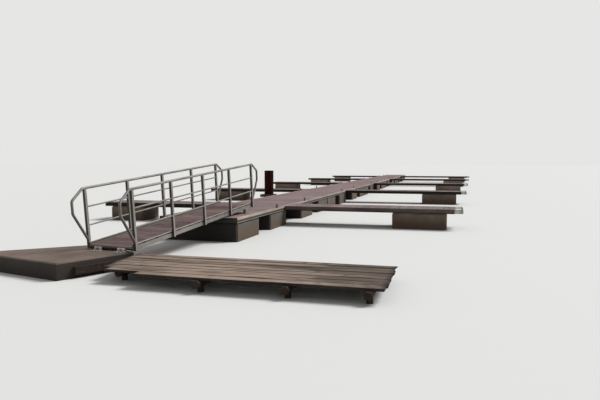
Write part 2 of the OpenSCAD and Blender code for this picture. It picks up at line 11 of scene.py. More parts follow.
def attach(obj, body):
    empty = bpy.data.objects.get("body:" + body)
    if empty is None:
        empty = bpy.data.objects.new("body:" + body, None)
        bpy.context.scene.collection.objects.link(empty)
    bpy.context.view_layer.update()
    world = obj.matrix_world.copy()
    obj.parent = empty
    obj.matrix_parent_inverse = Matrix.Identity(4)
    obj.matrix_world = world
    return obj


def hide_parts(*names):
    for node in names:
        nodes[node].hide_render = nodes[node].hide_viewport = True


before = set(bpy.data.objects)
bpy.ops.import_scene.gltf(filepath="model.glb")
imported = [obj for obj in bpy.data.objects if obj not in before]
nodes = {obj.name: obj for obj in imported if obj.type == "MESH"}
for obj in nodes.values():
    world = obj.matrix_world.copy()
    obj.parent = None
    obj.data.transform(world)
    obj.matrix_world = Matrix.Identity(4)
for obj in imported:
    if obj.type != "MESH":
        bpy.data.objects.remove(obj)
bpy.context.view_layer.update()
rng = random.Random(11)

X, Y, Z = 0, 1, 2
LEFT, RIGHT = -1, 1

# Sizes are the real jetty's in millimetres, as in the part's source, and MM is one in the model's metres
MM = 0.0005

# Walkway, in like bays from the shore outwards
BAYS = 5
BAY_L = 9600
BAY_GAP = 20
START = -800
WALKWAY_W = 2000
DECK_TOP = 570
DECK_T = 55
DECK_JOINT = 4
EDGE_W = 60
EDGES_A_BAY = 3
EDGE_GAP = 3

# Boards of the walkway and the fingers, each a little out of line, and the joists under them
BOARD_TONES = (0.3, 1.0)
BOARD_T = 32
BOARD_PITCH = 146
BOARD_GAPS = (5, 8)
BOARD_SINK = 2.5
BOARD_SHIFT = 2
WALKWAY_BOARD_SHORT = 6
FINGER_BOARD_SHORT = 5
JOIST_W = 60
JOIST_T = DECK_T - BOARD_T - 2.6
JOIST_CHAMFER = 2.0
JOIST_TONE = 0.2
WALKWAY_JOISTS = (-850, -300, 300, 850)
FINGER_JOISTS = (-380, 0, 380)
FINGER_JOIST_INSET = 22
END_JOIST_W = 20
END_JOIST_AT = 11
END_JOIST_SHORT = 6
END_TONE = 0.3

# Fingers: their lengths are counted from the walkway's side
FINGER_AT = 4200
FINGER_W = 1100
FINGER_ROOT = 1020
RIGHT_FINGER_L = 4830
RIGHT_FINGER_GROWTH = 340
FIRST_LEFT_FINGER_L = 4060
LEFT_FINGER_L = 4770
FASCIA_T = 45
FASCIA_H = 100

# Bolt heads in the sides of the walkway, the fingers and the pile's guide, as pairs of radius and height
BOLT = [(14, 0), (14, 2), (10, 2), (10, 8), (7, 10)]
BOLT_SIDES = 8
WALER_BOLTS = 24
WALER_BOLT_FIRST = 200
WALER_BOLT_PITCH = 400
WALER_BOLT_Z = 492
FINGER_BOLTS = 8
FINGER_BOLT_INSET = 150
GUIDE_X = -1228
GUIDE_Y = 8040
GUIDE_HALF = 278
GUIDE_BOLT_Z = 555
GUIDE_BOLTS = (-50, 50)

# Gangway: its own frame has y along it from the middle of the hinge line, and LEVEL leaves out its slope
HINGE = Vector((-83, -4105, 325))
TURN = math.radians(5)
SLOPE = math.radians(5)
LEVEL = Matrix.Translation(HINGE) @ Matrix.Rotation(-TURN, 4, "Z")
GANGWAY = LEVEL @ Matrix.Rotation(SLOPE, 4, "X")
GANGWAY_W = 1013
CURB = 45
POSTS = 5
POST_PITCH = 1186
FIRST_POST = 70
GANGWAY_LOW = 35
GANGWAY_HIGH = FIRST_POST + (POSTS - 1) * POST_PITCH + 60
GANGWAY_L = GANGWAY_HIGH - GANGWAY_LOW

# Ribbed boards of the gangway
RIBBED_TONES = (0.25, 0.9)
RIB_SPREAD = 0.3
GROOVE_TONE = 0.0
RIBBED_W = 936
RIBBED_T = 28
RIBBED_PITCH = 145
RIBBED_GAP = 5
RIBBED_Z = CURB - 12
RIBBED_SINK = 1.2
RIBBED_SHORT = 4
RIBBED_MARGIN = 4
RIBBED_DROP = 2
RIBBED_BEVEL = 3
GROOVES = 6
GROOVE_TOP = 8
GROOVE_BOTTOM = (1, 7)
GROOVE_DEPTH = 3

# Rings of weld where the rails meet the posts
RAIL_H = 1014
RAIL_LEVELS = (1, 2)
POST_FACE = 25.5
WELD_R = 16
WELD_WIRE_R = 2.6

# Toe rails: their places across, counted from the gangway's middle, and their heights over its beams
TOE_BAR_X = 470.5
TOE_BAR_Z = CURB + 32.5
TOE_BAR_W = 22
TOE_BAR_H = 15
TOE_BLOCK_X = 465
TOE_BLOCK_Z = CURB + 12.5
TOE_BLOCK_W = 11
TOE_BLOCK_H = 25.2
TOE_BLOCK_L = 290
TOE_SLOT_L = 90
TOE_PITCH = TOE_BLOCK_L + TOE_SLOT_L
TOE_FILLER_X = 461.5
TOE_FILLER_W = 4
TOE_BACK_W = 3
# The toe blocks' outer sides are painted lighter and their inner sides darker: painted light and painted
# shade
TOE_OUTER_PAINTED_LIGHT = 1.0
TOE_INNER_PAINTED_SHADE = 0.6

# Anchor bolts of the hinge's plates, from the hinge line
HINGE_X = 250
ANCHORS = (-70, 0, 70)
ANCHOR_Y = -64
ANCHOR_Z = -35
ANCHOR_SIDES = 6

# Landing: eight boards, each from its own start to the common right end
LANDING_TOP = 227
LANDING_SINK = 1
LANDING_BACK = -3885
LANDING_RIGHT = 4950
LANDING_STARTS = [385, 372, 393, 423, 452, 482, 640, 1250]
LANDING_HALF = 98
LANDING_PITCH = 204
LANDING_STEPS = 40
LANDING_OUTLINE = [
    (-96, -38), (96, -38), (98, -7), (93, -2), (85, 0), (40, -1.5),
    (0, -2.5), (-40, -1.5), (-85, 0), (-93, -2), (-98, -7),
]
WAVY_FROM = 60
DARK_FROM = 90
LIFTED_FROM = -20
LOWEST_LIFT = -4
RAGGED_START = 22
RAGGED_END = 50

# Wear of the landing, as shares: it grows from a place along each board, and patches have more
WORN_FROM = (0.52, 0.72)
WEAR_GROWTH = 4
MOST_WEAR = 0.9
PATCH_CHANCE = 0.08
PATCH_WEAR = 0.5
WEAR_SHARES = (0.6, 1)
LEAST_TONE = 0.15

# Waves along a landing board, each as its height and the length in which it turns by a radian.
# The wave and the mean of its width are shares of the outline's width
FULL_TURN = 6.28
LONG_WAVE = (1.1, 260)
SHORT_WAVE = (0.7, 97)
SAG_WAVE = (1.2, 500)
WIDTH_WAVE = (0.012, 700)
MEAN_WIDTH = 0.985


def finger_end(side, row):
    """How far a finger reaches from the walkway's middle; rows count from 0."""
    if side == RIGHT:
        return WALKWAY_W / 2 + RIGHT_FINGER_L + RIGHT_FINGER_GROWTH * row
    return WALKWAY_W / 2 + (FIRST_LEFT_FINGER_L if row == 0 else LEFT_FINGER_L)


def srgb(red, green, blue):
    """Linear colour from the usual 0 to 255 numbers."""
    def linear(value):
        value /= 255
        return value / 12.92 if value <= 0.04045 else ((value + 0.055) / 1.055) ** 2.4
    return (linear(red), linear(green), linear(blue), 1.0)


def add_object(name, data):
    """A new object in the scene."""
    item = bpy.data.objects.new(name, data)
    bpy.context.scene.collection.objects.link(item)
    return item


# Sockets of a mix node that is set to colours
MIX_FACTOR, MIX_FIRST, MIX_SECOND, MIX_RESULT = 0, 6, 7, 2

# Limits of the fingers with painted shade and of the paler outer floats, in the model's metres
LEFT_FINGERS_X = -0.5
FIRST_ROW_Y = 4.0
OUTER_END_Y = 24.0


class Shader:
    """A material built from nodes on the piece's own coordinates, in the model's metres."""

    def __init__(self, name, roughness, metallic=0.0, gloss=0.5):
        self.material = bpy.data.materials.new(name)
        self.material.use_nodes = True
        self.tree = self.material.node_tree
        self.surface = self.tree.nodes["Principled BSDF"]
        self.surface.inputs["Roughness"].default_value = roughness
        self.surface.inputs["Metallic"].default_value = metallic
        self.surface.inputs["Specular IOR Level"].default_value = gloss
        self.place = self.add("ShaderNodeTexCoord").outputs["Object"]

    def add(self, kind, **values):
        node = self.tree.nodes.new(kind)
        for key, value in values.items():
            setattr(node, key, value)
        return node

    def put(self, socket, value):
        """Link another node's output to a socket, or set its plain value."""
        if isinstance(value, bpy.types.NodeSocket):
            self.tree.links.new(value, socket)
        else:
            socket.default_value = value

    def stretched(self, scale):
        """The coordinates times a scale, which is one number or one for each axis."""
        mapping = self.add("ShaderNodeMapping")
        self.put(mapping.inputs["Vector"], self.place)
        mapping.inputs["Scale"].default_value = [scale] * 3 if isinstance(scale, float) else scale
        return mapping.outputs["Vector"]

    def noise(self, scale, detail=4.0, roughness=0.55, shift=0.0):
        node = self.add("ShaderNodeTexNoise", noise_dimensions="4D")
        self.put(node.inputs["Vector"], self.stretched(scale))
        node.inputs["W"].default_value = shift
        node.inputs["Scale"].default_value = 1.0
        node.inputs["Detail"].default_value = detail
        node.inputs["Roughness"].default_value = roughness
        return node.outputs["Fac"]

    def cells(self, scale):
        node = self.add("ShaderNodeTexVoronoi")
        self.put(node.inputs["Vector"], self.stretched(scale))
        node.inputs["Scale"].default_value = 1.0
        return node.outputs["Color"]

    def ramp(self, value, *stops):
        """Colours or grey levels at marks along a value, blended between one mark and the next."""
        node = self.add("ShaderNodeValToRGB")
        self.put(node.inputs["Fac"], value)
        marks = node.color_ramp.elements
        while len(marks) < len(stops):
            marks.new(0.5)
        for mark, (where, colour) in zip(marks, stops):
            mark.position = where
            mark.color = colour if isinstance(colour, tuple) else (colour, colour, colour, 1)
        return node.outputs["Color"]

    def mix(self, factor, first, second, kind="MIX"):
        node = self.add("ShaderNodeMix", data_type="RGBA", blend_type=kind)
        self.put(node.inputs[MIX_FACTOR], factor)
        self.put(node.inputs[MIX_FIRST], first)
        self.put(node.inputs[MIX_SECOND], second)
        return node.outputs[MIX_RESULT]

    def times(self, colour, level):
        """The colour multiplied by another colour or by a grey level."""
        return self.mix(1.0, colour, level, "MULTIPLY")

    def calculate(self, operation, first, second):
        node = self.add("ShaderNodeMath", operation=operation)
        self.put(node.inputs[0], first)
        self.put(node.inputs[1], second)
        return node.outputs[0]

    def component(self, vector, axis):
        node = self.add("ShaderNodeSeparateXYZ")
        self.put(node.inputs[0], vector)
        return node.outputs[axis]

    def coordinate(self, axis):
        return self.component(self.place, axis)

    def facing(self, axis):
        """How far the surface faces along an axis, from -1 to 1."""
        return self.component(self.add("ShaderNodeNewGeometry").outputs["Normal"], axis)

    def tone(self):
        """The tone that each board or other solid of a piece carries."""
        return self.add("ShaderNodeAttribute", attribute_name="tone").outputs["Fac"]

    def in_shade(self, colour, level):
        """The colour, with painted shade on faces towards the shore; at level 1 it stays."""
        if level == 1.0:
            return colour
        away = self.calculate("MULTIPLY", self.facing(Y), -1.0)
        return self.times(colour, self.ramp(away, (0.4, 1.0), (0.9, level)))

    def painted_shade_on_sides(self, colour, level):
        """The colour, with painted shade on upright faces; at level 1 it stays."""
        if level == 1.0:
            return colour
        return self.times(colour, self.ramp(self.facing(Z), (0.3, level), (0.8, 1.0)))

    def painted_shade_on_far_fingers(self, colour, level):
        """The colour, with painted shade on the left fingers and past the first row; at level 1 it stays.
        """
        if level == 1.0:
            return colour
        left = self.calculate("LESS_THAN", self.coordinate(X), LEFT_FINGERS_X)
        far = self.calculate("GREATER_THAN", self.coordinate(Y), FIRST_ROW_Y)
        dark = self.times(colour, (level, level, level, 1.0))
        return self.mix(self.calculate("MAXIMUM", left, far), colour, dark)

    def outwards(self, colour, level):
        """The colour, paler towards the walkway's outer end; at level 1 it stays."""
        if level == 1.0:
            return colour
        share = self.calculate("DIVIDE", self.coordinate(Y), OUTER_END_Y)
        return self.times(colour, self.ramp(share, (0.3, 1.0), (0.65, level)))

    def bump(self, height, distance):
        node = self.add("ShaderNodeBump")
        self.put(node.inputs["Height"], height)
        node.inputs["Distance"].default_value = distance
        self.put(self.surface.inputs["Normal"], node.outputs["Normal"])

    def finish(self, colour, roughness=None):
        self.put(self.surface.inputs["Base Color"], colour)
        if roughness is not None:
            self.put(self.surface.inputs["Roughness"], roughness)
        return self.material


def grain_scale(crosswise, grainwise, along):
    """A noise's scale in wood, crosswise and along the axis that the grain follows."""
    scale = [crosswise] * 3
    scale[along] = grainwise
    return scale


def timber(name, colours, along, weather=0.5, planked=True, far=1.0, shore=1.0, splits=0.0, low=0.42):
    """Weathered wood with its grain along an axis.

    The colours are the grain's dark, middle and light. Cracks show as much as weather says, and
    splits are long dark lines. A planked piece carries tones, and low is the level at tone 0.
    The levels far and shore are those of the painted shade on the far fingers and towards the shore.
    """
    dark, middle, light = [srgb(*colour) for colour in colours]
    shader = Shader(name, roughness=0.85, gloss=0.25)
    grain = shader.noise(grain_scale(70.0, 3.0, along), detail=6.0, roughness=0.62)
    base = shader.ramp(grain, (0.28, dark), (0.52, middle), (0.74, light))
    patches = shader.ramp(shader.noise(1.3, detail=3.0), (0.35, 0.78), (0.68, 1.06))
    colour = shader.times(base, patches)
    fine = shader.noise(grain_scale(240.0, 9.0, along), detail=3.0, roughness=0.7, shift=4.0)
    cracks = shader.ramp(fine, (0.26, 0.45), (0.36, 1.0))
    colour = shader.mix(weather, colour, shader.times(colour, cracks))
    if splits > 0.0:
        wide = shader.noise(grain_scale(21.0, 1.5, along), detail=5.0, roughness=0.6, shift=8.0)
        colour = shader.times(colour, shader.ramp(wide, (0.39, 1.0 - splits), (0.45, 1.0)))
    if planked:
        colour = shader.times(colour, shader.ramp(shader.tone(), (0.0, low), (0.3, 0.76), (1.0, 1.16)))
    shader.bump(shader.calculate("ADD", grain, shader.calculate("MULTIPLY", cracks, 0.6)), 0.0012)
    return shader.finish(shader.in_shade(shader.painted_shade_on_far_fingers(colour, far), shore))


def galvanised(name, dark, light, stain=0.35, shore=1.0):
    """Dull zinc with its spangle and runs of brown dirt, and painted shade towards the shore as shore says.
    """
    shader = Shader(name, roughness=0.55, metallic=0.35)
    spangle = shader.ramp(shader.cells(55.0), (0.15, 0.55), (0.85, 1.0))
    cloud = shader.noise(5.0, detail=5.0)
    base = shader.ramp(cloud, (0.3, srgb(*dark)), (0.7, srgb(*light)))
    base = shader.mix(0.3, base, shader.times(base, spangle))
    runs = shader.noise((9.0, 9.0, 2.2), detail=5.0, roughness=0.6, shift=2.0)
    dirt = shader.ramp(runs, (0.52, 0.0), (0.78, 1.0))
    colour = shader.mix(shader.calculate("MULTIPLY", dirt, stain), base, srgb(118, 104, 86))
    shader.bump(shader.noise(160.0, detail=2.0), 0.0003)
    return shader.finish(shader.in_shade(colour, shore), shader.ramp(cloud, (0.3, 0.62), (0.7, 0.46)))


def concrete(name, dark, light, stain, stain_top, stain_depth, shore=1.0, sides=1.0, outer=1.0):
    """Cast concrete with pores, stained up to about stain_top, with runs of stain_depth, in metres; shore
    and sides add painted shade.
    """
    dark, light = srgb(*dark), srgb(*light)
    shader = Shader(name, roughness=0.9)
    cloud = shader.noise(3.2, detail=6.0, roughness=0.6)
    speck = shader.ramp(shader.noise(150.0, detail=3.0), (0.4, 0.86), (0.6, 1.06))
    base = shader.times(shader.ramp(cloud, (0.3, dark), (0.7, light)), speck)
    runs = shader.noise((16.0, 16.0, 2.0), detail=4.0, roughness=0.6, shift=6.0)
    lowered = shader.calculate("MULTIPLY", runs, -stain_depth)
    height = shader.calculate("ADD", shader.coordinate(Z), lowered)
    wet = shader.ramp(shader.calculate("DIVIDE", height, stain_top), (0.15, 1.0), (0.9, 0.0))
    colour = shader.mix(wet, base, shader.mix(cloud, srgb(*stain), dark))
    colour = shader.outwards(shader.painted_shade_on_sides(colour, sides), outer)
    pores = shader.ramp(shader.noise(320.0, detail=2.0, roughness=0.5, shift=3.0), (0.3, 0.0), (0.42, 1.0))
    shader.bump(shader.calculate("ADD", cloud, pores), 0.0014)
    return shader.finish(shader.in_shade(colour, shore))


def painted_steel(name, dark, light, rust, rusting=0.4, roughness=0.7, gloss=0.5):
    """Old coated steel, worn through to rust in patches."""
    shader = Shader(name, roughness, metallic=0.1, gloss=gloss)
    cloud = shader.noise((6.0, 6.0, 3.0), detail=6.0, roughness=0.62)
    base = shader.ramp(cloud, (0.3, srgb(*dark)), (0.7, srgb(*light)))
    wear = shader.noise((14.0, 14.0, 5.0), detail=6.0, roughness=0.68, shift=5.0)
    worn = shader.ramp(wear, (0.5, 0.0), (0.66, 1.0))
    colour = shader.mix(shader.calculate("MULTIPLY", worn, rusting), base, srgb(*rust))
    shader.bump(shader.calculate("ADD", cloud, shader.calculate("MULTIPLY", worn, -0.7)), 0.0012)
    return shader.finish(colour, shader.ramp(worn, (0.0, roughness), (1.0, 0.93)))


def rubber(name):
    """Black rubber, dusty in the hollows."""
    shader = Shader(name, roughness=0.75)
    cloud = shader.noise(30.0)
    shader.bump(cloud, 0.0005)
    return shader.finish(shader.ramp(cloud, (0.3, srgb(26, 25, 24)), (0.75, srgb(62, 60, 57))))


deck_x = timber("deck_boards_across", [(100, 82, 81), (142, 122, 121), (168, 149, 148)], X)
deck_y = timber("deck_boards_along", [(90, 75, 73), (131, 113, 111), (158, 141, 138)], Y)
# The edge timbers get deep painted shade on faces towards the shore
edge_wood = timber(
    "edge_timber", [(132, 118, 107), (171, 158, 147), (195, 185, 174)], Y, weather=0.6, shore=0.06
)
gangway_wood = timber("gangway_boards", [(94, 77, 75), (142, 121, 118), (177, 156, 152)], X, weather=0.6)
# The side boards get painted shade on the left fingers and past the first row
side_wood = timber(
    "side_boards", [(54, 46, 43), (88, 78, 74), (115, 104, 99)], X, weather=0.6, planked=False, far=0.12
)
waler_wood = timber("walers", [(44, 34, 28), (74, 60, 49), (104, 88, 73)], Y, weather=0.6, planked=False)
landing_wood = timber(
    "landing_boards", [(72, 58, 48), (150, 131, 117), (206, 186, 168)], X, weather=0.8, splits=0.75, low=0.1
)
block_wood = timber("toe_blocks", [(70, 65, 54), (98, 92, 78), (118, 111, 95)], Y)
log_wood = timber("landing_logs", [(30, 22, 18), (50, 39, 31), (76, 62, 51)], Y, weather=0.7, planked=False)

zinc = galvanised("zinc", (138, 136, 128), (176, 174, 166))
plate_zinc = galvanised("plate_zinc", (166, 160, 152), (200, 194, 186), stain=0.25)
# Rail, beam, post, tube and frame zinc get painted shade on faces towards the shore
rail_zinc = galvanised("rail_zinc", (140, 133, 126), (172, 165, 158), stain=0.25, shore=0.55)
beam_zinc = galvanised("beam_zinc", (122, 117, 112), (148, 143, 138), stain=0.25, shore=0.55)
post_zinc = galvanised("post_zinc", (134, 129, 122), (168, 163, 156), stain=0.25, shore=0.14)
# The tubes' zinc is a darker copy of the rails' zinc: painted shade on tubes seen against the light
painted_shade_tube_zinc = galvanised("painted_shade_tube_zinc", (110, 106, 101), (150, 146, 140), stain=0.3, shore=0.5)
frame_zinc = galvanised("frame_zinc", (104, 100, 94), (146, 142, 134), stain=0.5, shore=0.1)

# The floats get painted shade on faces towards the shore, the fingers' floats only a little
float_grey = concrete(
    "float_concrete", (70, 66, 61), (103, 98, 91), (96, 70, 46),
    stain_top=0.18, stain_depth=0.07, shore=0.09,
)
finger_grey = concrete(
    "finger_concrete", (98, 88, 78), (140, 127, 112), (84, 54, 30),
    stain_top=0.2, stain_depth=0.09, shore=0.75, outer=1.8,
)
# The bank gets painted shade on its upright faces, and it is darker low down on them
bank_grey = concrete(
    "bank_concrete", (100, 86, 76), (136, 120, 109), (46, 38, 33),
    stain_top=0.17, stain_depth=0.03, sides=0.25,
)

pile_red = painted_steel(
    "pile_coating", (34, 13, 11), (50, 19, 16), (74, 38, 27), roughness=0.9, gloss=0.1
)
root_red = painted_steel("root_steel", (70, 33, 28), (104, 55, 46), (96, 54, 36), rusting=0.6)
dark_steel = painted_steel("dark_steel", (40, 38, 36), (66, 62, 58), (96, 66, 48))
band_steel = painted_steel(
    "band_steel", (24, 20, 18), (42, 36, 32), (60, 45, 35), rusting=0.5, roughness=0.85, gloss=0.1
)
old_steel = painted_steel("old_steel", (104, 98, 90), (142, 136, 126), (118, 88, 64), rusting=0.5)
black_rubber = rubber("black_rubber")

node_looks = {
    "walkway_walers": waler_wood,
    "bay_couplers": black_rubber,
    "cleats": dark_steel,
    "finger_floats": finger_grey,
    "finger_frames": band_steel,
    "finger_side_boards": side_wood,
    "finger_end_brackets": zinc,
    "finger_root_brackets": root_red,
    "mooring_pile": pile_red,
    "pile_guide": dark_steel,
    "pile_guide_pads": black_rubber,
    "shore_abutment": bank_grey,
    "hinge_brackets": plate_zinc,
    "hinge_pins": zinc,
    "landing_bearers": log_wood,
    "landing_stakes": log_wood,
    "gangway_side_beams": beam_zinc,
    "gangway_bearers": frame_zinc,
    "gangway_posts": post_zinc,
    "gangway_handrails": painted_shade_tube_zinc,
    "gangway_mid_rails": painted_shade_tube_zinc,
    "gangway_knuckles": zinc,
    "wheel_forks": zinc,
    "wheels": old_steel,
    "wheel_axles": zinc,
}
for number in range(1, BAYS + 1):
    node_looks["walkway_floats_%d" % number] = float_grey
    node_looks["walkway_frame_%d" % number] = frame_zinc
for name, look in node_looks.items():
    mesh = nodes[name].data
    mesh.materials.clear()
    mesh.materials.append(look)


def plank_faces():
    """Faces of a box whose edges and corners are cut, three points at each corner."""
    def at(signs, full):
        """The number of a corner's point that lies on the box's face across one axis."""
        return 3 * sum((1 << a) for a in range(3) if signs[a] > 0) + full
    faces = []
    for axis in range(3):
        u, v = (axis + 1) % 3, (axis + 2) % 3
        for s in (-1, 1):
            loop = []
            for su, sv in ((-1, -1), (1, -1), (1, 1), (-1, 1)):
                signs = [0, 0, 0]
                signs[axis], signs[u], signs[v] = s, su, sv
                loop.append(at(signs, axis))
            faces.append(loop)
        for su in (-1, 1):
            for sv in (-1, 1):
                ends = []
                for s in (-1, 1):
                    signs = [0, 0, 0]
                    signs[axis], signs[u], signs[v] = s, su, sv
                    ends.append([at(signs, u), at(signs, v)])
                faces.append([ends[0][0], ends[0][1], ends[1][1], ends[1][0]])
    for corner in range(8):
        faces.append([3 * corner, 3 * corner + 1, 3 * corner + 2])
    return faces


PLANK_FACES = plank_faces()
SHARP_FROM = math.radians(35)


class Pieces:
    """Collects solids in millimetres into one mesh, each with its own tone."""

    def __init__(self):
        self.points = []
        self.faces = []
        self.tones = []

    def put(self, points, faces, matrix, tone=0.5):
        """Add a solid: its tone is one number, or a list with one for each point."""
        first = len(self.points)
        self.points += [matrix @ Vector(p) for p in points]
        self.faces += [[first + i for i in face] for face in faces]
        self.tones += tone if isinstance(tone, list) else [tone] * len(points)

    def plank(self, size, matrix, chamfer=3.0, tone=0.5):
        """A board with broken edges, centred on the matrix's origin."""
        half = [s / 2 for s in size]
        points = []
        for corner in range(8):
            signs = [1 if corner >> axis & 1 else -1 for axis in range(3)]
            for full in range(3):
                points.append([signs[a] * (half[a] - (0 if a == full else chamfer)) for a in range(3)])
        self.put(points, PLANK_FACES, matrix, tone)

    def prism(self, outline, length, matrix, tone):
        """An outline in y and z, drawn out along x about the origin."""
        n = len(outline)
        points = [(s * length / 2, y, z) for s in (-1, 1) for y, z in outline]
        faces = [[i, (i + 1) % n, n + (i + 1) % n, n + i] for i in range(n)]
        faces += [list(range(n))[::-1], list(range(n, 2 * n))]
        self.put(points, faces, matrix, tone)

    def turned(self, profile, matrix, sides):
        """A solid of revolution about z from pairs of radius and height, closed at both ends."""
        points, faces = [], []
        for radius, height in profile:
            for i in range(sides):
                angle = 2 * math.pi * i / sides
                points.append((radius * math.cos(angle), radius * math.sin(angle), height))
        rings = len(profile)
        for ring in range(rings - 1):
            for i in range(sides):
                j = (i + 1) % sides
                low, high = ring * sides, (ring + 1) * sides
                faces.append([low + i, low + j, high + j, high + i])
        faces.append(list(range(sides))[::-1])
        faces.append([(rings - 1) * sides + i for i in range(sides)])
        self.put(points, faces, matrix)

    def ring(self, radius, thick, matrix, around, sides):
        """A torus about z."""
        points, faces = [], []
        for i in range(around):
            a = 2 * math.pi * i / around
            for j in range(sides):
                b = 2 * math.pi * j / sides
                r = radius + thick * math.cos(b)
                points.append((r * math.cos(a), r * math.sin(a), thick * math.sin(b)))
        for i in range(around):
            for j in range(sides):
                k, m = (i + 1) % around, (j + 1) % sides
                faces.append([i * sides + j, k * sides + j, k * sides + m, i * sides + m])
        self.put(points, faces, matrix)

    def build(self, name, look, body, slot, replaced=(), smooth=False):
        """Make the piece, which rides on a body and may stand for CAD nodes."""
        mesh = bpy.data.meshes.new(name)
        mesh.from_pydata([p * MM for p in self.points], [], self.faces)
        tone = mesh.attributes.new("tone", "FLOAT", "POINT")
        tone.data.foreach_set("value", self.tones)
        work = bmesh.new()
        work.from_mesh(mesh)
        bmesh.ops.recalc_face_normals(work, faces=work.faces)
        work.to_mesh(mesh)
        work.free()
        mesh.materials.append(look)
        if smooth:
            mesh.shade_smooth()
            mesh.set_sharp_from_angle(angle=SHARP_FROM)
        piece = add_object(name, mesh)
        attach(piece, body)
        if replaced:
            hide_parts(*replaced)


def shade():
    """A board's own tone: lower tones are kept for worn edges."""
    return rng.uniform(*BOARD_TONES)


def place(x, y, z):
    return Matrix.Translation((x, y, z))


def facing_side(x, y, z, side):
    """A place whose z points out to the left or to the right."""
    return place(x, y, z) @ Matrix.Rotation(side * math.pi / 2, 4, "Y")


def facing_end(x, y, z, face):
    """A place whose z points along y, forwards for 1 and backwards for -1."""
    return place(x, y, z) @ Matrix.Rotation(-face * math.pi / 2, 4, "X")


def board_z():
    """The middle height of a deck board, which lies a little under the deck's top."""
    return DECK_TOP - BOARD_T / 2 - rng.uniform(0, BOARD_SINK)


def joist(pieces, length_x, length_y, x, y, tone=JOIST_TONE):
    """A flat timber under the boards of a deck."""
    spot = place(x, y, DECK_TOP - DECK_T + JOIST_T / 2)
    pieces.plank((length_x, length_y, JOIST_T), spot, JOIST_CHAMFER, tone)


def walkway_boards():
    """Cross boards on joists, bay by bay, between the edge timbers."""
    width = WALKWAY_W - 2 * EDGE_W - 2 * DECK_JOINT
    for bay in range(BAYS):
        low = START + bay * BAY_L + BAY_GAP / 2
        high = low + BAY_L - BAY_GAP
        if bay == 0:
            low += EDGE_W + DECK_JOINT
        if bay == BAYS - 1:
            high -= EDGE_W + DECK_JOINT
        boards = Pieces()
        count = round((high - low) / BOARD_PITCH)
        pitch = (high - low) / count
        for k in range(count):
            y = low + (k + 0.5) * pitch
            z = board_z()
            length = width - rng.uniform(0, WALKWAY_BOARD_SHORT)
            size = (length, pitch - rng.uniform(*BOARD_GAPS), BOARD_T)
            spot = place(rng.uniform(-BOARD_SHIFT, BOARD_SHIFT), y, z)
            boards.plank(size, spot, tone=shade())
        for x in WALKWAY_JOISTS:
            joist(boards, JOIST_W, high - low, x, (low + high) / 2)
        name = "walkway_deck_%d" % (bay + 1)
        boards.build("walkway_boards_%d" % (bay + 1), deck_x, "jetty", "deck_timber", [name])


def edge_timbers():
    """Edge timbers in lengths, and one across each end of the walkway."""
    edges = Pieces()
    z = DECK_TOP - DECK_T / 2
    length = (BAY_L - BAY_GAP) / EDGES_A_BAY
    for bay in range(BAYS):
        low = START + bay * BAY_L + BAY_GAP / 2
        for side in (LEFT, RIGHT):
            x = side * (WALKWAY_W - EDGE_W) / 2
            for k in range(EDGES_A_BAY):
                spot = place(x, low + (k + 0.5) * length, z)
                edges.plank((EDGE_W, length - EDGE_GAP, DECK_T), spot, tone=shade())
    end_size = (WALKWAY_W - 2 * EDGE_W - 2 * DECK_JOINT, EDGE_W, DECK_T)
    inset = (BAY_GAP + EDGE_W) / 2
    for y in (START + inset, START + BAYS * BAY_L - inset):
        edges.plank(end_size, place(0, y, z), tone=END_TONE)
    edges.build("edge_timbers", edge_wood, "jetty", "pale_timber", ["walkway_edge_boards"])


def finger_boards():
    """Boards across each finger, between its side boards, on joists."""
    fingers = Pieces()
    width = FINGER_W - 2 * FASCIA_T - 2 * DECK_JOINT
    for bay in range(BAYS):
        y = START + bay * BAY_L + FINGER_AT
        for side in (LEFT, RIGHT):
            span = finger_end(side, bay) - FINGER_ROOT
            count = round(span / BOARD_PITCH)
            pitch = span / count
            for k in range(count):
                x = side * (FINGER_ROOT + (k + 0.5) * pitch)
                z = board_z()
                length = pitch - rng.uniform(*BOARD_GAPS)
                size = (length, width - rng.uniform(0, FINGER_BOARD_SHORT), BOARD_T)
                fingers.plank(size, place(x, y, z), tone=shade())
            for offset in FINGER_JOISTS:
                x = side * (FINGER_ROOT + span / 2)
                joist(fingers, span - 2 * FINGER_JOIST_INSET, JOIST_W, x, y + offset)
            for x in (FINGER_ROOT + END_JOIST_AT, FINGER_ROOT + span - END_JOIST_AT):
                joist(fingers, END_JOIST_W, width - END_JOIST_SHORT, side * x, y, END_TONE)
    fingers.build("finger_boards", deck_y, "jetty", "deck_timber", ["finger_decks"])


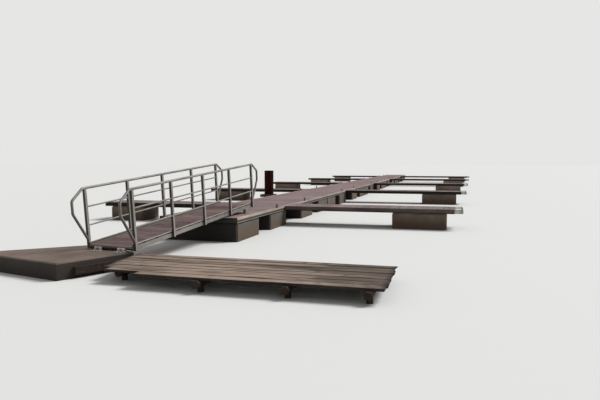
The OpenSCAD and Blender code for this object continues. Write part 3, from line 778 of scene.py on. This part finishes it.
def side_bolts():
    """Bolt heads along the walers, the fingers' side boards and the pile's guide."""
    bolts = Pieces()
    for bay in range(BAYS):
        low = START + bay * BAY_L
        for side in (LEFT, RIGHT):
            for k in range(WALER_BOLTS):
                y = low + WALER_BOLT_FIRST + k * WALER_BOLT_PITCH
                spot = facing_side(side * WALKWAY_W / 2, y, WALER_BOLT_Z, side)
                bolts.turned(BOLT, spot, BOLT_SIDES)
            span = finger_end(side, bay) - FINGER_ROOT - 2 * FINGER_BOLT_INSET
            for k in range(FINGER_BOLTS):
                x = side * (FINGER_ROOT + FINGER_BOLT_INSET + k * span / (FINGER_BOLTS - 1))
                for face in (-1, 1):
                    y = low + FINGER_AT + face * FINGER_W / 2
                    spot = facing_end(x, y, DECK_TOP - FASCIA_H / 2, face)
                    bolts.turned(BOLT, spot, BOLT_SIDES)
    for offset in GUIDE_BOLTS:
        for face in (-1, 1):
            spot = facing_end(GUIDE_X + offset, GUIDE_Y + face * GUIDE_HALF, GUIDE_BOLT_Z, face)
            bolts.turned(BOLT, spot, BOLT_SIDES)
        spot = facing_side(GUIDE_X - GUIDE_HALF, GUIDE_Y + offset, GUIDE_BOLT_Z, LEFT)
        bolts.turned(BOLT, spot, BOLT_SIDES)
    bolts.build("side_bolts", dark_steel, "jetty", "dark_steel")


def ribbed_outline(width):
    """A gangway board's outline in y and z, with grooves between the ribs of its top."""
    half = width / 2
    step = (width - 2 * RIBBED_MARGIN) / GROOVES
    outline = [(-half, -RIBBED_T), (half, -RIBBED_T), (half, -RIBBED_DROP)]
    for groove in range(GROOVES):
        right = half - RIBBED_MARGIN - groove * step
        left = right - step
        near, far = GROOVE_BOTTOM
        outline += [(right, 0), (left + GROOVE_TOP, 0)]
        outline += [(left + far, -GROOVE_DEPTH), (left + near, -GROOVE_DEPTH)]
    return outline + [(-half + RIBBED_BEVEL, 0), (-half, -RIBBED_DROP)]


def gangway_boards():
    """Ribbed boards across the gangway, each rib with its own tone and the grooves dark."""
    ribs = Pieces()
    count = round(GANGWAY_L / RIBBED_PITCH)
    pitch = GANGWAY_L / count
    outline = ribbed_outline(pitch - RIBBED_GAP)
    for k in range(count):
        board_tone = rng.uniform(*RIBBED_TONES)
        tones = [board_tone] * 3
        for _ in range(GROOVES):
            rib_tone = board_tone + rng.uniform(-RIB_SPREAD, RIB_SPREAD)
            tones += [rib_tone] * 2 + [GROOVE_TONE] * 2
        tones += [board_tone] * 2
        y = GANGWAY_LOW + (k + 0.5) * pitch
        spot = GANGWAY @ place(0, y, RIBBED_Z - rng.uniform(0, RIBBED_SINK))
        ribs.prism(outline, RIBBED_W - rng.uniform(0, RIBBED_SHORT), spot, tones * 2)
    ribs.build("gangway_boards", gangway_wood, "gangway", "deck_timber", ["gangway_deck"])


def rail_welds():
    """A ring of weld where each of the two lower rails meets a post of the gangway."""
    welds = Pieces()
    for side in (LEFT, RIGHT):
        for post in range(POSTS):
            y = FIRST_POST + post * POST_PITCH
            for level in RAIL_LEVELS:
                z = CURB + level * RAIL_H / 3
                for face in (-1, 1):
                    if (post == 0 and face < 0) or (post == POSTS - 1 and face > 0):
                        continue
                    spot = facing_end(side * GANGWAY_W / 2, y + face * POST_FACE, z, -1)
                    welds.ring(WELD_R, WELD_WIRE_R, GANGWAY @ spot, around=14, sides=6)
    welds.build("rail_welds", zinc, "gangway", "galvanised_steel", smooth=True)


def toe_tones(side):
    """Tones of a plank's points, three at each corner: painted light on its outer side, painted shade on
    the rest.
    """
    tones = []
    for corner in range(8):
        outer = (corner & 1) == (side == RIGHT)
        tones += [TOE_OUTER_PAINTED_LIGHT if outer else TOE_INNER_PAINTED_SHADE] * 3
    return tones


def toe_rails():
    """A bar along each side on timber blocks, with dark plates of painted shade at the back of the slots
    between them on the outer side.
    """
    bars, blocks, backs = Pieces(), Pieces(), Pieces()
    for side in (LEFT, RIGHT):
        spot = place(side * TOE_BAR_X, (GANGWAY_LOW + GANGWAY_HIGH) / 2, TOE_BAR_Z)
        bars.plank((TOE_BAR_W, GANGWAY_L, TOE_BAR_H), GANGWAY @ spot, chamfer=2.0)
        tones = toe_tones(side)
        for k in range(math.ceil(GANGWAY_L / TOE_PITCH)):
            low = GANGWAY_LOW + k * TOE_PITCH
            length = min(TOE_BLOCK_L, GANGWAY_HIGH - low)
            spot = place(side * TOE_BLOCK_X, low + length / 2, TOE_BLOCK_Z)
            blocks.plank((TOE_BLOCK_W, length, TOE_BLOCK_H), GANGWAY @ spot, 1.0, tones)
            if low + TOE_PITCH < GANGWAY_HIGH:
                y = low + TOE_BLOCK_L + TOE_SLOT_L / 2
                spot = place(side * TOE_FILLER_X, y, TOE_BLOCK_Z)
                blocks.plank((TOE_FILLER_W, TOE_SLOT_L, TOE_BLOCK_H), GANGWAY @ spot, 0.5, tones)
                # A dark plate at each slot's back paints the shade in the slot
                spot = place(side * TOE_BLOCK_X, y, TOE_BLOCK_Z)
                backs.plank((TOE_BACK_W, TOE_SLOT_L, TOE_BLOCK_H), GANGWAY @ spot, chamfer=0.5)
    bars.build("toe_bars", rail_zinc, "gangway", "galvanised_steel", ["gangway_toe_rails"])
    blocks.build("toe_blocks", block_wood, "gangway", "brown_timber")
    backs.build("toe_slot_backs", band_steel, "gangway", "dark_steel")


def wave(form, phase, x):
    """A wave's value at x: its form is a pair of height and length."""
    height, length = form
    return height * math.sin(phase + x / length)


def worn_board(start):
    """Points and tones of a landing board, ring by ring: wavy edges, ragged ends and worn patches."""
    length = LANDING_RIGHT - start
    tone = shade()
    lift = rng.uniform(LOWEST_LIFT, 0)
    phase = rng.uniform(0, FULL_TURN)
    worn_from = rng.uniform(*WORN_FROM)
    points, tones = [], []
    for i in range(LANDING_STEPS + 1):
        share = i / LANDING_STEPS
        x = start + length * i / LANDING_STEPS
        worn = min(MOST_WEAR, max(0.0, share - worn_from) * WEAR_GROWTH)
        worn += PATCH_WEAR if rng.random() < PATCH_CHANCE else 0
        edge = wave(LONG_WAVE, phase, x) + wave(SHORT_WAVE, 2 * phase, x)
        sag = lift + wave(SAG_WAVE, 3 * phase, x)
        width = MEAN_WIDTH + wave(WIDTH_WAVE, phase, x)
        for y, z in LANDING_OUTLINE:
            ragged = 0
            if i == 0:
                ragged = rng.uniform(0, RAGGED_START)
            if i == LANDING_STEPS:
                ragged = -rng.uniform(0, RAGGED_END)
            dark = abs(y) > DARK_FROM or i in (0, LANDING_STEPS)
            shift = edge if abs(y) > WAVY_FROM else 0
            points.append((x + ragged, y * width + shift, z + (sag if z > LIFTED_FROM else 0)))
            tones.append(0.0 if dark else max(LEAST_TONE, tone - worn * rng.uniform(*WEAR_SHARES)))
    return points, tones


def landing_planks():
    """The landing's boards, side by side towards the shore, each from its own start."""
    landing = Pieces()
    n = len(LANDING_OUTLINE)
    faces = []
    for i in range(LANDING_STEPS):
        for j in range(n):
            m = (j + 1) % n
            faces.append([i * n + j, i * n + m, (i + 1) * n + m, (i + 1) * n + j])
    faces.append(list(range(n))[::-1])
    faces.append([LANDING_STEPS * n + j for j in range(n)])
    for k, start in enumerate(LANDING_STARTS):
        y = LANDING_BACK - LANDING_HALF - k * LANDING_PITCH
        points, tones = worn_board(start)
        landing.put(points, faces, place(0, y, LANDING_TOP - LANDING_SINK), tones)
    landing.build("landing_planks", landing_wood, "jetty", "pale_timber", ["landing_boards"])


def anchor_bolts():
    """Anchor bolts in a row in each of the hinge's plates."""
    anchors = Pieces()
    for side in (LEFT, RIGHT):
        for offset in ANCHORS:
            spot = place(side * HINGE_X + offset, ANCHOR_Y, ANCHOR_Z)
            anchors.turned(BOLT, LEVEL @ spot, ANCHOR_SIDES)
    anchors.build("anchor_bolts", dark_steel, "jetty", "dark_steel")


def photo_camera():
    """The photograph's view, as solved from the gangway and the walkway."""
    camera = add_object("camera", bpy.data.cameras.new("camera"))
    camera.data.sensor_width = 36.0
    camera.data.lens = 32.58
    camera.data.clip_end = 500.0
    camera.location = (2.8545, -6.1935, 0.915)
    below_level, left_of_y = 3.877, 15.49
    camera.rotation_euler = (math.radians(90 - below_level), 0, math.radians(left_of_y))
    bpy.context.scene.camera = camera


def pale_floor():
    """A plain pale floor, which is no part of the jetty."""
    left, right, near, far = -150, 150, -100, 250
    corners = [(left, near, 0), (right, near, 0), (right, far, 0), (left, far, 0)]
    mesh = bpy.data.meshes.new("floor")
    mesh.from_pydata(corners, [], [(0, 1, 2, 3)])
    mesh.materials.append(Shader("floor", roughness=0.9).finish(srgb(226, 226, 224)))
    floor = add_object("floor", mesh)


def soft_sun():
    sun = add_object("sun", bpy.data.lights.new("sun", "SUN"))
    sun.data.energy = 2.9
    sun.data.angle = math.radians(25)
    sun.rotation_euler = (math.radians(-22), math.radians(38), 0)


def pale_world():
    """Even white light on the jetty, with a pale backdrop for the rays that see past it."""
    world = bpy.data.worlds.new("world")
    bpy.context.scene.world = world
    world.use_nodes = True
    tree = world.node_tree
    sky = tree.nodes["Background"]
    sky.inputs["Color"].default_value = (1.0, 1.0, 1.0, 1.0)
    sky.inputs["Strength"].default_value = 0.32
    backdrop = tree.nodes.new("ShaderNodeBackground")
    backdrop.inputs["Color"].default_value = srgb(230, 230, 229)
    backdrop.inputs["Strength"].default_value = 1.0
    ray = tree.nodes.new("ShaderNodeLightPath")
    seen = ray.outputs["Is Camera Ray"]
    for kind in ("Is Glossy Ray", "Is Transmission Ray"):
        either = tree.nodes.new("ShaderNodeMath")
        either.operation = "MAXIMUM"
        tree.links.new(seen, either.inputs[0])
        tree.links.new(ray.outputs[kind], either.inputs[1])
        seen = either.outputs[0]
    choose = tree.nodes.new("ShaderNodeMixShader")
    tree.links.new(seen, choose.inputs[0])
    tree.links.new(sky.outputs[0], choose.inputs[1])
    tree.links.new(backdrop.outputs[0], choose.inputs[2])
    tree.links.new(choose.outputs[0], tree.nodes["World Output"].inputs["Surface"])


# The pieces draw from one row of random numbers, so their order matters
walkway_boards()
edge_timbers()
finger_boards()
side_bolts()
gangway_boards()
rail_welds()
toe_rails()
landing_planks()
anchor_bolts()

photo_camera()
pale_floor()
soft_sun()
pale_world()
bpy.context.scene.view_settings.view_transform = "Standard"
